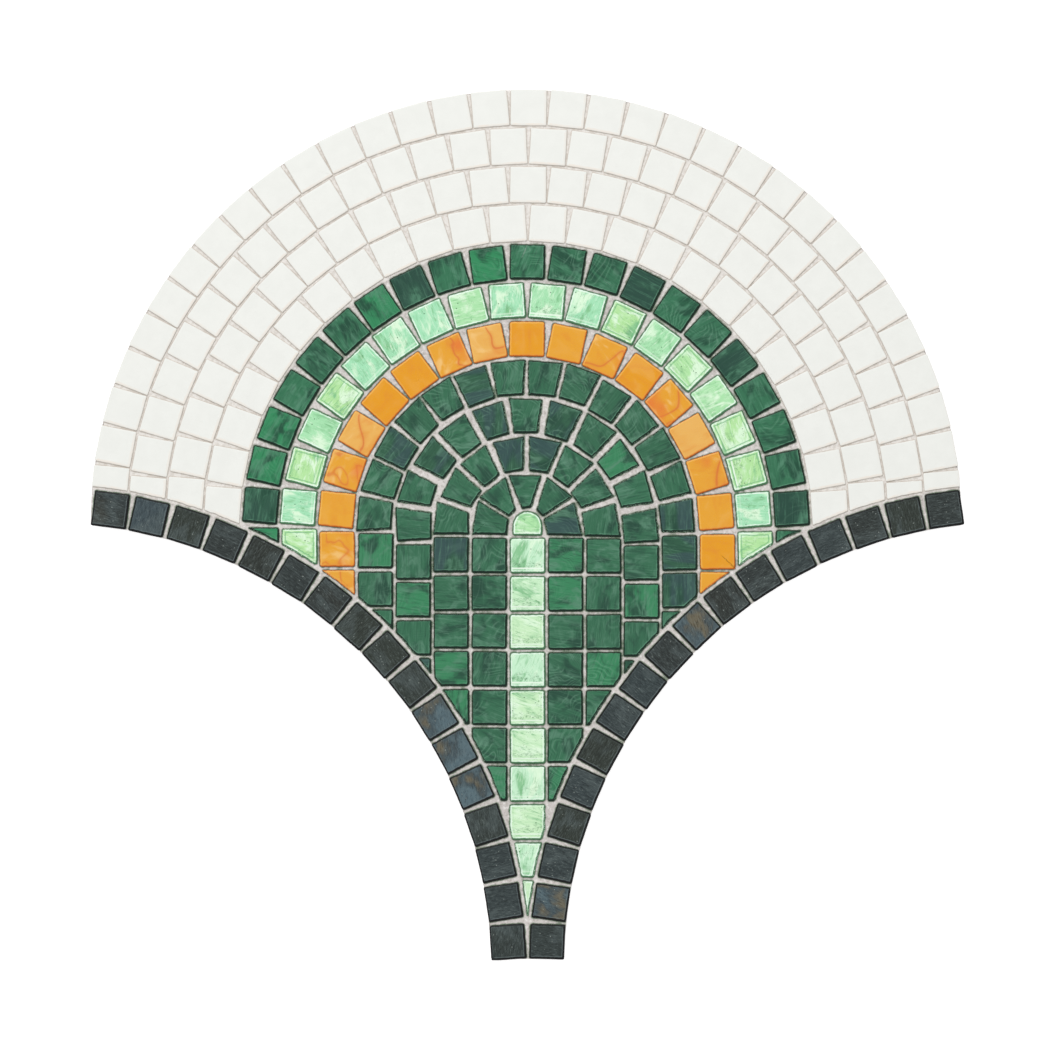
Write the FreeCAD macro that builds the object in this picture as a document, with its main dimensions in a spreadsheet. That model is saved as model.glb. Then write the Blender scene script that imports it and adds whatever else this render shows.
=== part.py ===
import FreeCAD, Part
import os
import Sketcher

# A fish scale of glass mosaic, lying on its back. +Y points to the round top and +Z out of the face.
# Lengths are millimetres and angles degrees. The origin is on the back, on the stem's middle line, where
# the rings would have their middle if they had been laid true.
SIZES = {
    "tessera": 12.2,  # side of a square piece of coloured or black glass
    "white_tessera": 12.45,  # side of a white one
    "glass_height": 4.0,  # thickness of the glass
    "bevel": 0.3,  # worn edge round each face
    "joint": 0.89,  # between rings, columns and rows, where the pieces aren't white
    "ring_turn": 0.35,  # the rings were laid this far clockwise of the stem
    "ring_shift": 0.55,  # and this far to its left
    "drop_white_1": 0.7,  # from the origin down to the middle of this ring
    "drop_white_2": 0.95,
    "drop_white_3": 1.2,
    "drop_white_4": 1.35,
    "drop_dark_green": 1.7,
    "drop_light_green": 1.8,
    "drop_orange": 2.0,
    "drop_green_1": 2.0,
    "drop_green_2": 2.2,
    "drop_green_3": 2.2,
    "drop_green_4": 1.7,
    "field_joint": 2.3,  # between this scale and its neighbours
    "border_joint": 1.3,  # between the black border and the pieces cut to meet it
    "border_gap": 0.96,  # between black pieces, where they are closest
    "tip_joint": 1.2,  # between the two black pieces of the foot
    "scrap": 3.0,  # a cut piece narrower than this is left out
    "overhang": 3.0,  # how far below the level of its middle a ring may run
    "springer_height": 11.7,  # from a springer's outer corner down to its foot
    "cap_radius": 5.1,
    "cap_drop": 1.0,  # from the origin down to the middle of the cap's round
    "cap_foot": 4.2,  # from the origin down to the cap's straight foot
    "gap_white_1": 0.28,  # between the pieces of this ring, where they are closest
    "gap_white_2": 0.4,
    "gap_white_3": 0.3,
    "gap_white_4": 0.43,
    "gap_dark_green": 0.54,
    "gap_light_green": 0.42,
    "gap_orange": 0.27,
    "gap_green_1": 1.25,
    "gap_green_2": 2.1,
    "gap_green_3": 1.6,
    "gap_green_4": 1.3,
    "spread_green_1": 1.1,  # what a wedge and its joint take up beyond a tessera, at the outer edge
    "spread_green_2": 1.7,
    "spread_green_3": 1.0,
    "spread_green_4": 0.7,
    "mesh_thickness": 0.6,
    "bed_under_glass": 0.9,
    "joint_recess": 0.8,  # from the faces of the glass down to the joint filling
    "edge_reveal": 0.15,  # how far the glass stands out over the edge of its bed
}

# The rings, from the outside in. A ring with an even place has a piece at its top, the others a joint.
WHITE_RINGS = ("white_1", "white_2", "white_3", "white_4")
OTHER_SQUARE_RINGS = ("dark_green", "light_green", "orange")
WEDGE_RINGS = ("green_1", "green_2", "green_3", "green_4")
SPRINGER_RINGS = WEDGE_RINGS[1:]
HUB_RING = WEDGE_RINGS[-1]
RINGS = WHITE_RINGS + OTHER_SQUARE_RINGS + WEDGE_RINGS
COLUMN_RINGS = OTHER_SQUARE_RINGS + WEDGE_RINGS
SIDES = {"left": -1, "right": 1}

doc = FreeCAD.newDocument("fish_scale_tile")
sizes = doc.addObject("Spreadsheet::Sheet", "sizes")
layout = doc.addObject("Spreadsheet::Sheet", "layout")
derived = []


def fill_sizes():
    """Puts the driving dimensions in their sheet."""
    for row, (name, value) in enumerate(SIZES.items(), start=1):
        sizes.set(f"A{row}", str(value))
        sizes.setAlias(f"A{row}", name)


def derive(name, formula):
    """Adds a worked-out value to the layout sheet. Its formula reads both sheets by alias."""
    row = len(derived) + 1
    layout.set(f"A{row}", "=" + formula)
    layout.setAlias(f"A{row}", name)
    derived.append(name)


def lay_out_outline():
    """The round top is about the middle of the outermost ring, each flank about a point below and beside it."""
    derive("step", "sizes.tessera + sizes.joint")
    derive("outer", f"{len(RINGS)} * step + sizes.white_tessera / 2")
    derive("flank_radius", "outer + sizes.field_joint")
    derive("flank_x", "flank_radius + sizes.tessera + sizes.tip_joint / 2")
    derive("flank_far", "sqrt(flank_x ^ 2 + flank_radius ^ 2)")
    derive("trim_radius", "flank_radius + sizes.tessera + sizes.border_joint")
    derive("bed_foot", "sizes.mesh_thickness")
    derive("glass_foot", "bed_foot + sizes.bed_under_glass")
    derive("glass_top", "glass_foot + sizes.glass_height")
    derive("bed_height", "sizes.bed_under_glass + sizes.glass_height - sizes.joint_recess")


def lay_out_ring(place, ring):
    """Radii, pitch, number of pieces and the half widths of one piece of a ring."""
    side = "sizes.white_tessera" if ring in WHITE_RINGS else "sizes.tessera"
    derive(f"middle_{ring}", f"{len(RINGS) - place} * step")
    derive(f"outer_{ring}", f"middle_{ring} + {side} / 2")
    derive(f"column_{ring}", f"middle_{ring} - {side} / 2")
    if ring == HUB_RING:
        cap_top = "(sizes.cap_radius - sizes.cap_drop)"
        derive(f"inner_{ring}", f"{cap_top} + sizes.joint + sizes.drop_{ring}")
    else:
        derive(f"inner_{ring}", f"column_{ring}")
    if ring in WEDGE_RINGS:
        slot = f"(sizes.tessera + sizes.spread_{ring})"
        derive(f"pitch_{ring}", f"2 * asin({slot} / 2 / outer_{ring})")
        derive(f"wide_{ring}", f"({slot} - sizes.gap_{ring}) / 2")
        half = f"pitch_{ring} / 2"
        derive(f"narrow_{ring}", f"inner_{ring} * tan({half}) - sizes.gap_{ring} / 2 / cos({half})")
        derive(f"flat_{ring}", f"sqrt(outer_{ring} ^ 2 - wide_{ring} ^ 2)")
    else:
        derive(f"pitch_{ring}", f"2 * asin(({side} + sizes.gap_{ring}) / 2 / inner_{ring})")
        derive(f"wide_{ring}", f"{side} / 2")
        derive(f"narrow_{ring}", f"{side} / 2")
        derive(f"flat_{ring}", f"outer_{ring}")
    top_piece = place % 2 == 0
    half_top = f" - pitch_{ring} / 2" if top_piece else ""
    if ring in WHITE_RINGS:
        derive(f"below_{ring}", f"flank_radius - sizes.drop_{ring}")
        derive(f"far_{ring}", f"sqrt(flank_x ^ 2 + below_{ring} ^ 2)")
        squares = f"middle_{ring} ^ 2 + far_{ring} ^ 2 - trim_radius ^ 2"
        lean = f"acos(({squares}) / (2 * middle_{ring} * far_{ring}))"
        derive(f"reach_{ring}", f"90 deg + atan(below_{ring} / flank_x) - {lean}")
        room = f"(reach_{ring} - asin(sizes.scrap / middle_{ring}){half_top})"
        derive(f"side_{ring}", f"ceil({room} / pitch_{ring})")
    else:
        derive(f"side_{ring}", f"floor((90 deg + sizes.overhang * 1 deg{half_top}) / pitch_{ring})")
    derive(f"count_{ring}", f"2 * side_{ring} + {1 if top_piece else 0}")


def lay_out_column(ring, side):
    """Where a column starts below its ring, and how many rows it has before the flank cuts it off."""
    turn = "+" if side == "right" else "-"
    if ring in SPRINGER_RINGS:
        end = f"(count_{ring} * pitch_{ring} / 2 {turn} sizes.ring_turn * 1 deg)"
        derive(f"end_{ring}_{side}", end)
        derive(f"across_{ring}_{side}", f"sizes.gap_{ring} / 2 * cos(end_{ring}_{side})")
        derive(f"down_{ring}_{side}", f"sizes.gap_{ring} / 2 * sin(end_{ring}_{side})")
        corner = f"outer_{ring} * cos(end_{ring}_{side}) - down_{ring}_{side} - sizes.drop_{ring}"
        derive(f"foot_{ring}_{side}", f"{corner} - sizes.springer_height")
    else:
        dip = f"((count_{ring} - 1) * pitch_{ring} / 2 {turn} sizes.ring_turn * 1 deg - 90 deg)"
        derive(f"dip_{ring}_{side}", dip)
        dip = f"dip_{ring}_{side}"
        outer_corner = f"flat_{ring} * sin({dip}) + wide_{ring} * cos({dip})"
        inner_corner = f"inner_{ring} * sin({dip}) + narrow_{ring} * cos({dip})"
        derive(f"foot_{ring}_{side}", f"-max({outer_corner}; {inner_corner}) - sizes.drop_{ring}")
    derive(f"start_{ring}_{side}", f"foot_{ring}_{side} - sizes.joint")
    short = f"(flank_x - column_{ring} - sizes.scrap)"
    derive(f"limit_{ring}_{side}", f"sqrt(trim_radius ^ 2 - {short} ^ 2) - flank_radius")
    room = f"(start_{ring}_{side} - limit_{ring}_{side})"
    derive(f"rows_{ring}_{side}", f"max(1; ceil({room} / step))")


def lay_out_stem():
    """The stem starts under the cap and ends where the flanks leave it too narrow."""
    derive("stem_start", "-sizes.cap_foot - sizes.joint")
    derive("stem_limit", "sqrt(trim_radius ^ 2 - (flank_x - sizes.scrap / 2) ^ 2) - flank_radius")
    derive("stem_rows", "ceil((stem_start - stem_limit) / step)")


def lay_out_border():
    """The border's pieces are counted from the foot up to the round top."""
    derive("border_middle", "flank_radius + sizes.tessera / 2")
    derive("border_pitch", "2 * asin((sizes.tessera + sizes.border_gap) / 2 / flank_radius)")
    derive("border_foot", "90 deg - asin((sizes.field_joint + sizes.tessera / 2) / border_middle)")
    reach = "(outer - sizes.white_tessera / 2 + sizes.joint)"
    lean = f"(flank_far ^ 2 + border_middle ^ 2 - {reach} ^ 2) / (2 * flank_far * border_middle)"
    derive("border_head", f"atan(flank_x / flank_radius) - acos({lean})")
    derive("border_count", "floor((border_foot - border_head) / border_pitch) + 1")


def origin_item(body, role):
    """One of the body's own origin planes or axes."""
    return next(item for item in body.Origin.OriginFeatures if item.Role == role)


def value(formula):
    """The number that a formula has with the sizes as they are, to draw a sketch close to its place."""
    found = layout.evalExpression(formula)
    return float(getattr(found, "Value", found))


def new_body(label):
    """A body whose separate solids are the pieces of one node."""
    body = doc.addObject("PartDesign::Body", label)
    body.Label = label
    body.AllowCompound = True
    return body


def new_sketch(body, name, foot="0", turn="0 deg", x="0", y="0"):
    """A sketch on the body's flat plane, lifted to foot, turned about +Z and moved to x, y."""
    sketch = body.newObject("Sketcher::SketchObject", name)
    sketch.AttachmentSupport = [(origin_item(body, "XY_Plane"), "")]
    sketch.MapMode = "FlatFace"
    sketch.AttachmentOffset = FreeCAD.Placement(FreeCAD.Vector(), FreeCAD.Rotation(FreeCAD.Vector(0, 0, 1), 0))
    sketch.setExpression("AttachmentOffset.Base.x", x)
    sketch.setExpression("AttachmentOffset.Base.y", y)
    sketch.setExpression("AttachmentOffset.Base.z", foot)
    sketch.setExpression("AttachmentOffset.Rotation.Angle", turn)
    return sketch


def bind(sketch, name, constraint, formula):
    """Adds a dimension to a sketch and ties it to a formula."""
    sketch.renameConstraint(sketch.addConstraint(constraint), name)
    sketch.setExpression(f"Constraints.{name}", formula)


def draw_symmetric(sketch, near, far, near_half, far_half):
    """A four-sided outline about the sketch's Y axis: a square or a wedge pointing at the origin."""
    low, high, short, wide = (value(formula) for formula in (near, far, near_half, far_half))
    corners = [
        FreeCAD.Vector(-short, low, 0),
        FreeCAD.Vector(short, low, 0),
        FreeCAD.Vector(wide, high, 0),
        FreeCAD.Vector(-wide, high, 0),
    ]
    draw_closed(sketch, corners)
    sketch.addConstraint(Sketcher.Constraint("Symmetric", 0, 1, 0, 2, -2))
    sketch.addConstraint(Sketcher.Constraint("Symmetric", 2, 1, 2, 2, -2))
    bind(sketch, "near", Sketcher.Constraint("DistanceY", -1, 1, 0, 1, low), near)
    bind(sketch, "far", Sketcher.Constraint("DistanceY", -1, 1, 2, 1, high), far)
    bind(sketch, "near_width", Sketcher.Constraint("DistanceX", 0, 1, 0, 2, 2 * short), f"2 * ({near_half})")
    bind(sketch, "far_width", Sketcher.Constraint("DistanceX", 2, 2, 2, 1, 2 * wide), f"2 * ({far_half})")


def draw_closed(sketch, corners):
    """Joins the corners with lines, each line starting where the last one ends."""
    count = len(corners)
    first = sketch.GeometryCount
    for i in range(count):
        sketch.addGeometry(Part.LineSegment(corners[i], corners[(i + 1) % count]), False)
    for i in range(count):
        joint = Sketcher.Constraint("Coincident", first + i, 2, first + (i + 1) % count, 1)
        sketch.addConstraint(joint)


def draw_corners(sketch, formulas):
    """A closed outline whose every corner is given by two formulas, for x and for y."""
    places = [(value(x), value(y)) for x, y in formulas]
    draw_closed(sketch, [FreeCAD.Vector(x, y, 0) for x, y in places])
    for i, ((x, y), (x_formula, y_formula)) in enumerate(zip(places, formulas)):
        bind(sketch, f"across_{i}", Sketcher.Constraint("DistanceX", -1, 1, i, 1, x), x_formula)
        bind(sketch, f"up_{i}", Sketcher.Constraint("DistanceY", -1, 1, i, 1, y), y_formula)


def draw_circle(sketch, radius):
    """A circle about the sketch's origin."""
    circle = Part.Circle(FreeCAD.Vector(), FreeCAD.Vector(0, 0, 1), value(radius))
    sketch.addGeometry(circle, False)
    sketch.addConstraint(Sketcher.Constraint("Coincident", 0, 3, -1, 1))
    bind(sketch, "radius", Sketcher.Constraint("Radius", 0, value(radius)), radius)


def pad(body, sketch, name, height):
    """Raises a sketch by a height and updates the document, as later features read it."""
    feature = body.newObject("PartDesign::Pad", name)
    feature.Profile = sketch
    feature.setExpression("Length", height)
    doc.recompute()
    return feature


def make_glass(body, sketch):
    """One piece of glass, with the edge round its face taken off."""
    glass = pad(body, sketch, body.Label + "_glass", "sizes.glass_height")
    top = glass.Shape.BoundBox.ZMax
    faces = enumerate(glass.Shape.Faces, start=1)
    face = next(number for number, face in faces if face.CenterOfMass.z > top - 1e-6)
    bevel = body.newObject("PartDesign::Chamfer", body.Label + "_bevel")
    bevel.Base = (glass, [f"Face{face}"])
    bevel.setExpression("Size", "sizes.bevel")
    doc.recompute()


def repeat_round(body, sketch, pitch, count, clockwise):
    """Repeats the piece about the origin of its sketch."""
    pattern = body.newObject("PartDesign::PolarPattern", body.Label + "_round")
    pattern.TransformMode = "Whole shape"
    pattern.Axis = (sketch, ["N_Axis"])
    pattern.Mode = "Spacing"
    pattern.Reversed = clockwise
    pattern.setExpression("Offset", pitch)
    pattern.setExpression("Occurrences", count)
    body.Tip = pattern


def repeat_down(body, sketch, count):
    """Repeats the piece in rows down the column."""
    pattern = body.newObject("PartDesign::LinearPattern", body.Label + "_rows")
    pattern.TransformMode = "Whole shape"
    pattern.Direction = (sketch, ["V_Axis"])
    pattern.Mode = "Spacing"
    pattern.Reversed = True
    pattern.setExpression("Offset", "layout.step")
    pattern.setExpression("Occurrences", count)
    body.Tip = pattern


def cut_away(body, sketch, name):
    """Cuts the outline in a sketch right through the body."""
    pocket = body.newObject("PartDesign::Pocket", name)
    pocket.Profile = sketch
    pocket.Type = "ThroughAll"
    pocket.Midplane = True
    body.Tip = pocket


def cut_to_flank(body, side, radius):
    """Cuts away what lies within radius of the flank's middle."""
    across = f"{SIDES[side]} * layout.flank_x"
    sketch = new_sketch(body, f"{body.Label}_{side}_flank", x=across, y="-layout.flank_radius")
    draw_circle(sketch, radius)
    cut_away(body, sketch, f"{body.Label}_{side}_cut")


def cut_foot(body):
    """Cuts a sheet straight across, level with the edge of the black foot."""
    sketch = new_sketch(body, f"{body.Label}_foot")
    edge = "sizes.edge_reveal - layout.outer"
    half = "sizes.tessera + sizes.tip_joint"
    draw_symmetric(sketch, f"{edge} - sizes.tessera", edge, half, half)
    cut_away(body, sketch, f"{body.Label}_foot_cut")


def make_ring(ring):
    """A ring of squares or wedges, laid clockwise from its left end."""
    body = new_body(f"{ring}_ring")
    first = f"(layout.count_{ring} - 1) * layout.pitch_{ring} / 2 - sizes.ring_turn * 1 deg"
    sketch = new_sketch(
        body, f"{ring}_piece", "layout.glass_foot", first, "-sizes.ring_shift", f"-sizes.drop_{ring}"
    )
    draw_symmetric(
        sketch,
        f"layout.inner_{ring}",
        f"layout.flat_{ring}",
        f"layout.narrow_{ring}",
        f"layout.wide_{ring}",
    )
    make_glass(body, sketch)
    repeat_round(body, sketch, f"layout.pitch_{ring}", f"layout.count_{ring}", True)
    if ring in WHITE_RINGS:
        for side in SIDES:
            cut_to_flank(body, side, "layout.trim_radius")
    return body


def make_column(ring, side):
    """Squares straight down from the end of a ring, cut where the black border crosses them."""
    body = new_body(f"{ring}_column_{side}")
    middle = f"{SIDES[side]} * (layout.column_{ring} + sizes.tessera / 2)"
    sketch = new_sketch(body, f"{ring}_{side}_square", "layout.glass_foot", x=middle)
    start = f"layout.start_{ring}_{side}"
    draw_symmetric(sketch, f"{start} - sizes.tessera", start, "sizes.tessera / 2", "sizes.tessera / 2")
    make_glass(body, sketch)
    repeat_down(body, sketch, f"layout.rows_{ring}_{side}")
    cut_to_flank(body, side, "layout.trim_radius")
    return body


def make_springer(ring, side):
    """The slanted piece between the last wedge of a ring and the column under it."""
    body = new_body(f"{ring}_springer_{side}")
    sketch = new_sketch(body, f"{ring}_{side}_springer", "layout.glass_foot")
    sign = SIDES[side]
    end = f"layout.end_{ring}_{side}"
    across = f"layout.across_{ring}_{side}"
    down = f"layout.down_{ring}_{side}"
    foot = f"layout.foot_{ring}_{side}"
    corners = [(f"{sign} * layout.column_{ring}", foot), (f"{sign} * layout.outer_{ring}", foot)]
    for radius in (f"layout.outer_{ring}", f"layout.column_{ring}"):
        x = f"{sign} * ({radius} * sin({end}) + {across}) - sizes.ring_shift"
        y = f"{radius} * cos({end}) - {down} - sizes.drop_{ring}"
        corners.append((x, y))
    draw_corners(sketch, corners)
    make_glass(body, sketch)
    return body


def make_cap():
    """The small half-round piece in the middle of the rings, straight below its round."""
    body = new_body("cap")
    sketch = new_sketch(body, "cap_outline", "layout.glass_foot", y="-sizes.cap_drop")
    radius = value("sizes.cap_radius")
    foot = value("sizes.cap_drop - sizes.cap_foot")
    start = FreeCAD.Vector(radius, 0, 0)
    end = FreeCAD.Vector(-radius, 0, 0)
    top = FreeCAD.Vector(0, radius, 0)
    sketch.addGeometry(Part.Arc(start, top, end), False)
    sketch.addGeometry(Part.LineSegment(end, FreeCAD.Vector(-radius, foot, 0)), False)
    sketch.addGeometry(
        Part.LineSegment(FreeCAD.Vector(-radius, foot, 0), FreeCAD.Vector(radius, foot, 0)), False
    )
    sketch.addGeometry(Part.LineSegment(FreeCAD.Vector(radius, foot, 0), start), False)
    sketch.addConstraint(Sketcher.Constraint("Coincident", 0, 3, -1, 1))
    sketch.addConstraint(Sketcher.Constraint("PointOnObject", 0, 1, -1))
    sketch.addConstraint(Sketcher.Constraint("PointOnObject", 0, 2, -1))
    sketch.addConstraint(Sketcher.Constraint("Coincident", 0, 2, 1, 1))
    sketch.addConstraint(Sketcher.Constraint("Coincident", 1, 2, 2, 1))
    sketch.addConstraint(Sketcher.Constraint("Coincident", 2, 2, 3, 1))
    sketch.addConstraint(Sketcher.Constraint("Coincident", 3, 2, 0, 1))
    sketch.addConstraint(Sketcher.Constraint("Vertical", 1))
    sketch.addConstraint(Sketcher.Constraint("Vertical", 3))
    sketch.addConstraint(Sketcher.Constraint("Horizontal", 2))
    bind(sketch, "radius", Sketcher.Constraint("Radius", 0, radius), "sizes.cap_radius")
    straight = "sizes.cap_foot - sizes.cap_drop"
    bind(sketch, "straight", Sketcher.Constraint("DistanceY", 1, 2, 1, 1, -foot), straight)
    make_glass(body, sketch)
    return body


def make_stem():
    """Squares down the middle, cut by both flanks to a trapezoid and a splinter."""
    body = new_body("stem")
    sketch = new_sketch(body, "stem_square", "layout.glass_foot")
    start = "layout.stem_start"
    draw_symmetric(sketch, f"{start} - sizes.tessera", start, "sizes.tessera / 2", "sizes.tessera / 2")
    make_glass(body, sketch)
    repeat_down(body, sketch, "layout.stem_rows")
    for side in SIDES:
        cut_to_flank(body, side, "layout.trim_radius")
    return body


def make_border(side):
    """Black squares along one hollow flank, from the foot up."""
    body = new_body(f"border_{side}")
    sign = SIDES[side]
    sketch = new_sketch(
        body,
        f"border_{side}_square",
        "layout.glass_foot",
        f"{sign} * layout.border_foot",
        f"{sign} * layout.flank_x",
        "-layout.flank_radius",
    )
    far = "layout.flank_radius + sizes.tessera"
    draw_symmetric(sketch, "layout.flank_radius", far, "sizes.tessera / 2", "sizes.tessera / 2")
    make_glass(body, sketch)
    repeat_round(body, sketch, "layout.border_pitch", "layout.border_count", side == "right")
    return body


def make_sheet(label, foot, height):
    """A flat sheet of the scale's outline: a round plate with the flanks and the foot cut from it."""
    body = new_body(label)
    sketch = new_sketch(body, f"{label}_round", foot, x="-sizes.ring_shift", y="-sizes.drop_white_1")
    draw_circle(sketch, "layout.outer - sizes.edge_reveal")
    pad(body, sketch, f"{label}_plate", height)
    for side in SIDES:
        cut_to_flank(body, side, "layout.flank_radius + sizes.edge_reveal")
    cut_foot(body)
    return body


def make_bed(glass):
    """The filling under and between the glass, with a pocket for every piece."""
    plate = make_sheet("bed_plate", "layout.bed_foot", "layout.bed_height")
    laid_glass = doc.addObject("Part::Compound", "laid_glass")
    laid_glass.Links = glass
    bed = doc.addObject("Part::Cut", "grout_bed")
    bed.Label = "grout_bed"
    bed.Base = plate
    bed.Tool = laid_glass
    return bed


def check_document(pieces):
    """Stops on any feature that failed and on any piece without a sound solid."""
    doc.recompute()
    for item in doc.Objects:
        if "Invalid" in item.State or "Error" in item.State:
            raise RuntimeError(f"{item.Label} is {item.State}: {item.getStatusString()}")
    for piece in pieces:
        shape = piece.Shape
        if shape.isNull() or not shape.isValid() or not shape.Solids:
            raise RuntimeError(f"{piece.Label} has no sound solid")


def write_parts(pieces):
    """Writes each node's solids to a file of its own."""
    os.makedirs("parts", exist_ok=True)
    for piece in pieces:
        piece.Shape.exportStep(f"parts/{piece.Label}.step")


fill_sizes()
doc.recompute()
lay_out_outline()
for place, ring in enumerate(RINGS):
    lay_out_ring(place, ring)
for ring in COLUMN_RINGS:
    for side in SIDES:
        lay_out_column(ring, side)
lay_out_stem()
lay_out_border()
doc.recompute()

glass = [make_ring(ring) for ring in RINGS]
for side in SIDES:
    glass += [make_column(ring, side) for ring in COLUMN_RINGS]
    glass += [make_springer(ring, side) for ring in SPRINGER_RINGS]
    glass.append(make_border(side))
glass += [make_cap(), make_stem()]
bed = make_bed(glass)
mesh = make_sheet("mesh_backing", "0", "sizes.mesh_thickness")
pieces = glass + [bed, mesh]
check_document(pieces)
write_parts(pieces)
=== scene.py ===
"""Looks of the fish scale tile: its glass, joint filling, netting, light and camera."""

import math
import random

import bpy
import numpy as np
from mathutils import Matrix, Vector, noise


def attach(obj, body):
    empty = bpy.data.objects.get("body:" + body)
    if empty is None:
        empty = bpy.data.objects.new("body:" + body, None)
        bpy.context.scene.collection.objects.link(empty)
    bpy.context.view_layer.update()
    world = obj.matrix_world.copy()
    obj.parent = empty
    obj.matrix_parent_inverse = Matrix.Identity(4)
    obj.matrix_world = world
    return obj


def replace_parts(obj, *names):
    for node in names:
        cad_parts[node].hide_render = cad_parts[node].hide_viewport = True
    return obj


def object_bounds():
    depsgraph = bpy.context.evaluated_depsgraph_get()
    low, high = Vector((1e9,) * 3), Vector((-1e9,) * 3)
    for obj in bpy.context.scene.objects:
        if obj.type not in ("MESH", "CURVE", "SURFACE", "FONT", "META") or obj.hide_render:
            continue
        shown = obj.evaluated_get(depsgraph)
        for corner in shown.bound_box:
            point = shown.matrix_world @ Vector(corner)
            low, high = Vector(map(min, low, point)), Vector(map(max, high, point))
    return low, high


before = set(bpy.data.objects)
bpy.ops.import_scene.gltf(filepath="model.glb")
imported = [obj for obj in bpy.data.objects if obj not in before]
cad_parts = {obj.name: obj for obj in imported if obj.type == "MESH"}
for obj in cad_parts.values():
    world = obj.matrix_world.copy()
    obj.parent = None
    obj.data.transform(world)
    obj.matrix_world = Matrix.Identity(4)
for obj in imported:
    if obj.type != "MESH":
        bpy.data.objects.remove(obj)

CAD_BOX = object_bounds()
MM = 0.001
BODY = "root"

# Heights in the frame, in millimetres above the back face.
BACKING_TOP = 0.6
BED_TOP = 4.7
GLASS_FOOT = 1.5
GLASS_TOP = 5.5

# The photograph: how many millimetres its frame takes in, and the point under the middle of the frame.
FRAME_MM = 361.6
AIM_X = -0.9
AIM_Y = -0.55
CAMERA_DISTANCE = 1.8
SENSOR_MM = 36.0

# The nodes of glass, by slot.
GLASS_NODES = {
    "white_glass": ("white_1_ring", "white_2_ring", "white_3_ring", "white_4_ring"),
    "dark_green_glass": ("dark_green_ring", "dark_green_column_left", "dark_green_column_right"),
    "light_green_glass": (
        "light_green_ring", "light_green_column_left", "light_green_column_right", "cap", "stem",
    ),
    "orange_glass": ("orange_ring", "orange_column_left", "orange_column_right"),
    "green_glass": (
        "green_1_ring", "green_1_column_left", "green_1_column_right",
        "green_2_ring", "green_2_springer_left", "green_2_springer_right",
        "green_2_column_left", "green_2_column_right",
        "green_3_ring", "green_3_springer_left", "green_3_springer_right",
        "green_3_column_left", "green_3_column_right",
        "green_4_ring", "green_4_springer_left", "green_4_springer_right",
        "green_4_column_left", "green_4_column_right",
    ),
    "black_glass": ("border_left", "border_right"),
}

# Tesserae that stand out in the photograph, by their place in the node: rings from the left end clockwise,
# columns and borders from the top. The rest get a tone of their own by chance.
DEEP = {
    "dark_green_ring": (0, 7, 13, 16, 20),
    "green_1_ring": (2, 5, 13),
    "green_1_column_right": (0, 1),
    "green_2_ring": (1, 3, 5),
    "green_2_column_left": (3,),
    "green_3_column_left": (0,),
    "green_3_ring": (2, 3),
    "green_4_springer_right": (0,),
    "orange_ring": (3, 4, 7, 10),
    "orange_column_right": (0,),
    "border_left": (0, 3, 4, 5, 6),
    "border_right": (0, 2, 5, 6, 8),
}
BRIGHT = {
    "stem": range(10),
    "dark_green_ring": (1, 2, 6, 9),
    "dark_green_column_left": (0,),
    "green_1_column_left": (0,),
    "green_2_ring": (7,),
    "green_2_column_left": (1,),
    "green_2_column_right": (1,),
    "green_3_column_left": (3, 4),
    "green_3_column_right": (3,),
    "green_4_column_left": (6,),
    "green_4_column_right": (0, 1, 6),
    "orange_ring": (2, 6, 12),
    "border_left": (1, 10, 11, 12),
    "border_right": (7, 15),
}
STREAKED = {
    "dark_green_ring": (9, 10, 11, 12, 14, 15, 18),
    "green_1_ring": (0, 1, 4, 6, 8, 10),
    "green_2_ring": (2, 3, 4, 5, 6),
    "green_3_springer_left": (0,),
    "green_3_ring": (2, 3, 4),
    "green_4_column_left": (0, 2, 3, 4, 5),
    "green_4_column_right": (3, 4, 5, 6),
    "green_3_column_right": (3,),
    "orange_ring": (1, 2, 5, 6, 9, 11, 13),
    "orange_column_left": (0, 1),
    "stem": (0, 1, 2, 3, 4, 5, 7),
    "light_green_ring": (9, 16),
    "border_left": (10, 11, 12),
    "border_right": (7, 15),
}


def srgb(red, green, blue):
    """A colour given as it looks on a screen, 0 to 255, as the linear colour that a shader takes."""
    def linear(value):
        value /= 255
        return value / 12.92 if value <= 0.04045 else ((value + 0.055) / 1.055) ** 2.4
    return (linear(red), linear(green), linear(blue), 1.0)


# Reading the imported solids

# Vertices are told apart in whole micrometres, and one this near to a height, in millimetres, lies at it.
MICRONS_IN_M = 1e6
MICRONS_IN_MM = 1e3
SAME_HEIGHT = 0.01


def mesh_arrays(obj):
    """Vertices in millimetres, with equal ones joined, and the triangles between them."""
    mesh = obj.data
    places = np.empty(len(mesh.vertices) * 3, np.float32)
    mesh.vertices.foreach_get("co", places)
    mesh.calc_loop_triangles()
    triangles = np.empty(len(mesh.loop_triangles) * 3, np.int32)
    mesh.loop_triangles.foreach_get("vertices", triangles)
    keys = np.round(places.reshape(-1, 3) * MICRONS_IN_M).astype(np.int64)
    joined, index = np.unique(keys, axis=0, return_inverse=True)
    return joined / MICRONS_IN_MM, index.reshape(-1)[triangles].reshape(-1, 3)


def loose_parts(count, triangles):
    """One label for each vertex, the same for all vertices of one solid."""
    labels = np.arange(count)
    while True:
        lowest = labels[triangles].min(axis=1)
        after = labels.copy()
        for corner in range(3):
            np.minimum.at(after, triangles[:, corner], lowest)
        after = after[after]
        if np.array_equal(after, labels):
            return labels
        labels = after


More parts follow.
